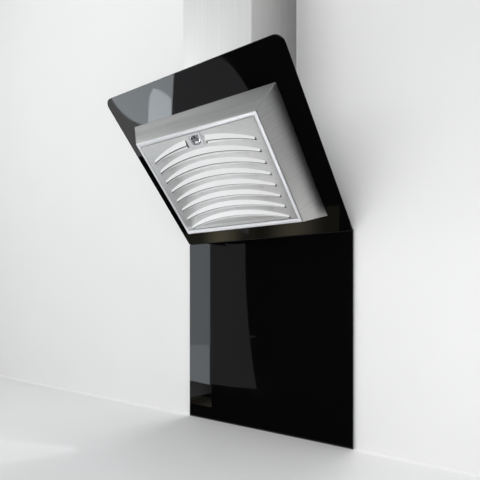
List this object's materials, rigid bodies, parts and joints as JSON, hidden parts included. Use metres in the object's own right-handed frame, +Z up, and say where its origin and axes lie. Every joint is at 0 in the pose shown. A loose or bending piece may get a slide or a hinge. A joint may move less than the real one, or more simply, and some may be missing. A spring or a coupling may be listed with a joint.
{
  "type": "angled wall cooker hood with back panel",
  "caption": "Wall cooker hood: leaning black glass, steel suction box with an arched slotted filter that tilts open, telescopic chimney and a black glass back panel below.",
  "frame": {"origin": "middle of the wall bracket's back face, on the wall", "axes": "+Z up, +Y into the wall, the hood faces -Y, +X to the right for someone standing in front of it"},
  "size_m": [0.7, 0.4191, 1.5725],
  "materials": {
    "black_glass": "polished toughened glass, black behind",
    "brushed_steel": "brushed stainless sheet",
    "pressed_steel": "satin stainless sheet",
    "aluminium_mesh": "expanded mesh, bright",
    "zinc_plated_steel": "zinc plated sheet and fasteners",
    "spring_steel": "oiled spring steel",
    "black_rubber": "matt black",
    "grey_plastic": "metallic grey moulding",
    "black_plastic": "satin black moulding",
    "black_painted_steel": "semi-gloss black paint",
    "white_plastic": "natural white moulding",
    "frosted_lamp_glass": "frosted warm white"
  },
  "bodies": {
    "hood": {"back_panel": "black_glass", "blower_scroll": "zinc_plated_steel", "blower_side_left": "zinc_plated_steel", "blower_side_right": "zinc_plated_steel", "body_shell": "zinc_plated_steel", "bonding_pad_foot": "black_rubber", "bonding_pad_top": "black_rubber", "chimney_clip_high": "zinc_plated_steel", "chimney_clip_low": "zinc_plated_steel", "chimney_foot_left": "zinc_plated_steel", "chimney_foot_right": "zinc_plated_steel", "chimney_lower": "brushed_steel", "chimney_screw_left": "zinc_plated_steel", "chimney_screw_right": "zinc_plated_steel", "control_strip": "black_plastic", "flap_pin": "zinc_plated_steel", "fold_seal": "black_rubber", "glass_gasket": "black_rubber", "glass_panel": "black_glass", "hinge_bracket_left": "zinc_plated_steel", "hinge_bracket_right": "zinc_plated_steel", "hinge_pin_left": "zinc_plated_steel", "hinge_pin_right": "zinc_plated_steel", "lamp_left": "brushed_steel", "lamp_lens_left": "frosted_lamp_glass", "lamp_lens_right": "frosted_lamp_glass", "lamp_right": "brushed_steel", "latch_keeper": "spring_steel", "motor": "black_painted_steel", "motor_spider": "zinc_plated_steel", "outlet_collar": "black_plastic", "suction_box": "brushed_steel", "switch_board": "black_plastic", "terminal_box": "black_plastic", "through_bolt_1": "zinc_plated_steel", "through_bolt_2": "zinc_plated_steel", "through_bolt_3": "zinc_plated_steel", "through_bolt_4": "zinc_plated_steel", "through_bolt_5": "zinc_plated_steel", "through_bolt_6": "zinc_plated_steel", "wall_bracket": "zinc_plated_steel"},
    "filter": {"filter_plate": "pressed_steel", "filter_frame": "zinc_plated_steel", "filter_mesh": "aluminium_mesh", "latch_housing": "grey_plastic", "latch_spring_left": "spring_steel", "latch_spring_right": "spring_steel"},
    "latch": {"latch_slide": "grey_plastic"},
    "fan": {"impeller": "black_plastic", "motor_shaft": "zinc_plated_steel"},
    "flap_front": {"flap_front": "white_plastic"},
    "flap_rear": {"flap_rear": "white_plastic"},
    "chimney_upper": {"chimney_upper": "brushed_steel"},
    "button_1": {"button_1": "grey_plastic"},
    "button_2": {"button_2": "grey_plastic"},
    "button_3": {"button_3": "grey_plastic"},
    "button_4": {"button_4": "grey_plastic"},
    "button_5": {"button_5": "grey_plastic"}
  },
  "joints": [
    {"name": "filter_tilt", "type": "hinge", "parent": "hood", "child": "filter", "pos_m": [0, -0.14166, -0.28567], "axis": [1, 0, 0], "range_deg": [0, 60], "deforming": ["latch_keeper"]},
    {"name": "latch_pull", "type": "slide", "parent": "filter", "child": "latch", "axis": [0, 0.6743, -0.7385], "range_m": [0, 0.006], "stiffness_N_per_m": 400, "springref_m": -0.003, "deforming": ["latch_spring_left", "latch_spring_right"]},
    {"name": "fan_spin", "type": "hinge", "parent": "hood", "child": "fan", "pos_m": [0, -0.098, -0.055], "axis": [1, 0, 0], "continuous": true},
    {"name": "flap_front_lift", "type": "hinge", "parent": "hood", "child": "flap_front", "pos_m": [0, -0.15069, 0.085], "axis": [-1, 0, 0], "range_deg": [0, 75]},
    {"name": "flap_rear_lift", "type": "hinge", "parent": "hood", "child": "flap_rear", "pos_m": [0, -0.15069, 0.085], "axis": [1, 0, 0], "range_deg": [0, 75]},
    {"name": "chimney_slide", "type": "slide", "parent": "hood", "child": "chimney_upper", "axis": [0, 0, 1], "range_m": [-0.12, 0.1]},
    {"name": "button_1_press", "type": "slide", "parent": "hood", "child": "button_1", "axis": [0, -0.3049, 0.9524], "range_m": [0, 0.002], "stiffness_N_per_m": 600, "springref_m": -0.001},
    {"name": "button_2_press", "type": "slide", "parent": "hood", "child": "button_2", "axis": [0, -0.3049, 0.9524], "range_m": [0, 0.002], "stiffness_N_per_m": 600, "springref_m": -0.001},
    {"name": "button_3_press", "type": "slide", "parent": "hood", "child": "button_3", "axis": [0, -0.3049, 0.9524], "range_m": [0, 0.002], "stiffness_N_per_m": 600, "springref_m": -0.001},
    {"name": "button_4_press", "type": "slide", "parent": "hood", "child": "button_4", "axis": [0, -0.3049, 0.9524], "range_m": [0, 0.002], "stiffness_N_per_m": 600, "springref_m": -0.001},
    {"name": "button_5_press", "type": "slide", "parent": "hood", "child": "button_5", "axis": [0, -0.3049, 0.9524], "range_m": [0, 0.002], "stiffness_N_per_m": 600, "springref_m": -0.001}
  ]
}
